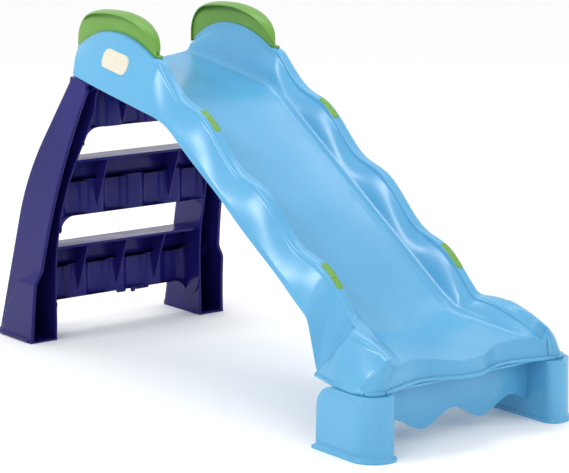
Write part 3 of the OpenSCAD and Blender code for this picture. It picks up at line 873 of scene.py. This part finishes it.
def plastic(name, dark, light, rough, subsurface, specular, grain=900.0, grain_depth=0.00004):
    """Moulded plastic: soft colour drift, fine satin grain, flow marks and a few scuffs."""
    mat, nodes, links, bsdf = new_material(name)
    coords = nodes.new("ShaderNodeTexCoord").outputs["Object"]
    drift = noise(nodes, links, coords, 5.0, 2.0)
    ramp_node = nodes.new("ShaderNodeValToRGB")
    ramp_node.color_ramp.elements[0].position = 0.35
    ramp_node.color_ramp.elements[0].color = (*dark, 1)
    ramp_node.color_ramp.elements[1].position = 0.65
    ramp_node.color_ramp.elements[1].color = (*light, 1)
    links.new(drift, ramp_node.inputs["Fac"])
    links.new(ramp_node.outputs["Color"], bsdf.inputs["Base Color"])
    patches = noise(nodes, links, coords, 28.0, 4.0)
    links.new(mapped(nodes, links, patches, rough - 0.02, rough + 0.04), bsdf.inputs["Roughness"])
    bsdf.inputs["Specular IOR Level"].default_value = specular
    bsdf.inputs["IOR"].default_value = 1.49
    bsdf.inputs["Subsurface Weight"].default_value = subsurface
    bsdf.inputs["Subsurface Radius"].default_value = (0.006, 0.008, 0.01)
    bsdf.inputs["Subsurface Scale"].default_value = 1.0
    fine = noise(nodes, links, coords, grain, 2.0)
    flow = noise(nodes, links, coords, 22.0, 3.0)
    grain_bump = nodes.new("ShaderNodeBump")
    grain_bump.inputs["Distance"].default_value = grain_depth
    grain_bump.inputs["Strength"].default_value = 0.6
    links.new(fine, grain_bump.inputs["Height"])
    flow_bump = nodes.new("ShaderNodeBump")
    flow_bump.inputs["Distance"].default_value = 0.0003
    flow_bump.inputs["Strength"].default_value = 0.25
    links.new(flow, flow_bump.inputs["Height"])
    links.new(grain_bump.outputs["Normal"], flow_bump.inputs["Normal"])
    links.new(flow_bump.outputs["Normal"], bsdf.inputs["Normal"])
    return mat


def speckled_green():
    """The inserts' green, with small dark pits."""
    mat, nodes, links, bsdf = new_material("insert_green")
    coords = nodes.new("ShaderNodeTexCoord").outputs["Object"]
    cells = nodes.new("ShaderNodeTexVoronoi")
    cells.inputs["Scale"].default_value = 260.0
    links.new(coords, cells.inputs["Vector"])
    pits = nodes.new("ShaderNodeValToRGB")
    pits.color_ramp.elements[0].position = 0.16
    pits.color_ramp.elements[0].color = (0.03, 0.09, 0.012, 1)
    pits.color_ramp.elements[1].position = 0.34
    pits.color_ramp.elements[1].color = (0.14, 0.34, 0.045, 1)
    links.new(cells.outputs["Distance"], pits.inputs["Fac"])
    links.new(pits.outputs["Color"], bsdf.inputs["Base Color"])
    bump = nodes.new("ShaderNodeBump")
    bump.inputs["Distance"].default_value = 0.0006
    links.new(cells.outputs["Distance"], bump.inputs["Height"])
    links.new(bump.outputs["Normal"], bsdf.inputs["Normal"])
    bsdf.inputs["Roughness"].default_value = 0.5
    return mat


def zinc_steel():
    mat, nodes, links, bsdf = new_material("zinc_steel")
    coords = nodes.new("ShaderNodeTexCoord").outputs["Object"]
    bsdf.inputs["Metallic"].default_value = 1.0
    bsdf.inputs["Base Color"].default_value = (0.62, 0.63, 0.66, 1)
    streaks = noise(nodes, links, coords, 400.0, 4.0)
    links.new(mapped(nodes, links, streaks, 0.25, 0.5), bsdf.inputs["Roughness"])
    return mat


BLUE = plastic("sky_plastic", (0.08, 0.335, 0.57), (0.1, 0.37, 0.61), 0.25, 0.05, 0.5)
NAVY = plastic("navy_plastic", (0.01, 0.008, 0.11), (0.014, 0.011, 0.135), 0.22, 0.0, 0.2)
GREEN = plastic("green_plastic", (0.1, 0.27, 0.03), (0.13, 0.31, 0.045), 0.34, 0.04, 0.4)
CREAM = plastic("plaque_cream", (0.62, 0.59, 0.47), (0.66, 0.63, 0.51), 0.25, 0.05, 0.5)
INSERT = speckled_green()
STEEL = zinc_steel()


def finish_piece(obj, material, body, slot, *nodes):
    obj.data.materials.clear()
    obj.data.materials.append(material)
    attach(obj, body)
    if nodes:
        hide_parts(*nodes)


# ---- the pieces ----
finish_piece(build_slide_shell(), BLUE, "slide", "blue_plastic", "slide_bed")
foot, cross = build_front_foot()
finish_piece(foot, BLUE, "slide", "blue_plastic", "front_foot")
finish_piece(cross, BLUE, "slide", "blue_plastic")
for side_name, side in (("left", 1), ("right", -1)):
    finish_piece(build_handrail("grip_" + side_name, side), GREEN, "slide", "green_plastic",
                 "handrail_" + side_name)
    for place, x0 in zip(("upper", "lower"), INSERT_X):
        finish_piece(build_insert("mist_insert_%s_%s" % (place, side_name), x0, side), INSERT,
                     "slide", "green_plastic", "insert_%s_%s" % (place, side_name))
    finish_piece(build_plaque("plaque_" + side_name, side), CREAM, "slide", "plaque",
                 "badge_" + side_name)
    finish_piece(build_ladder_side("stile_" + side_name, side), NAVY, "ladder", "navy_plastic",
                 "ladder_side_" + side_name)
finish_piece(build_step("lower_tread", TREAD_X, TREAD_H, (-95, 0, 95), 0,
                        ((2, 26, 6), (38, 50, 9), (50, 84, 5))),
             NAVY, "ladder", "navy_plastic", "lower_step")
finish_piece(build_step("middle_tread", TREAD_X + SET_BACK, TREAD_H + RISE, (-90, 85)),
             NAVY, "ladder", "navy_plastic", "middle_step")
finish_piece(build_step("top_riser", TREAD_X + 2 * SET_BACK, TOP_STEP_H, (-70, 70),
                        TREAD_H + 2 * RISE - TOP_STEP_H),
             NAVY, "ladder", "navy_plastic", "top_step")

CAD_LOOKS = {
    "pivot_block": BLUE, "ladder_stops": BLUE, "exit_bosses": BLUE, "foot_screws": STEEL,
    "pivot_pin": STEEL, "pin_clip": STEEL, "hinge_ear": NAVY}
for node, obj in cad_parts.items():
    for start, material in CAD_LOOKS.items():
        if node.startswith(start):
            obj.data.materials.clear()
            obj.data.materials.append(material)


# ---- floor, lights, camera ----
def build_stage():
    bpy.ops.mesh.primitive_plane_add(size=60, location=(0, 0, 0))
    floor = bpy.context.object
    floor.name = "floor"
    mat, _, _, bsdf = new_material("floor_white")
    bsdf.inputs["Base Color"].default_value = (0.97, 0.97, 0.97, 1)
    bsdf.inputs["Roughness"].default_value = 0.9
    floor.data.materials.append(mat)
    world = bpy.context.scene.world or bpy.data.worlds.new("world")
    bpy.context.scene.world = world
    world.use_nodes = True
    world.node_tree.nodes["Background"].inputs["Color"].default_value = (1, 1, 1, 1)
    world.node_tree.nodes["Background"].inputs["Strength"].default_value = 1.0


def area_light(name, place, target, size, power):
    light = bpy.data.lights.new(name, "AREA")
    light.shape = "RECTANGLE"
    light.size, light.size_y = size
    light.energy = power
    obj = bpy.data.objects.new(name, light)
    obj.location = place
    obj.rotation_euler = (Vector(target) - Vector(place)).to_track_quat("-Z", "Y").to_euler()
    bpy.context.scene.collection.objects.link(obj)


def build_camera():
    azimuth, elevation = math.radians(52.15), math.radians(11.26)
    cam = bpy.data.cameras.new("camera")
    cam.sensor_width = 36.0
    cam.lens = 142.3
    cam.shift_x = 0.0044
    obj = bpy.data.objects.new("camera", cam)
    obj.location = (3.782 + ZERO_X, -2.540, 1.097)
    obj.rotation_euler = (math.pi / 2 - elevation, 0, azimuth)
    bpy.context.scene.collection.objects.link(obj)
    bpy.context.scene.camera = obj


bpy.context.scene.view_settings.view_transform = "Standard"
build_stage()
area_light("key", (-0.4, -2.2, 2.2), (0.1, 0, 0.3), (1.0, 0.4), 22)
area_light("edge", (1.4, -2.6, 2.4), (0.1, 0, 0.3), (0.6, 0.12), 8)
area_light("top", (-0.6, 0.5, 2.8), (0.1, 0, 0.3), (2.4, 0.5), 16)
area_light("front", (3.2, 1.6, 1.7), (0.2, 0, 0.3), (0.4, 1.6), 14)
build_camera()
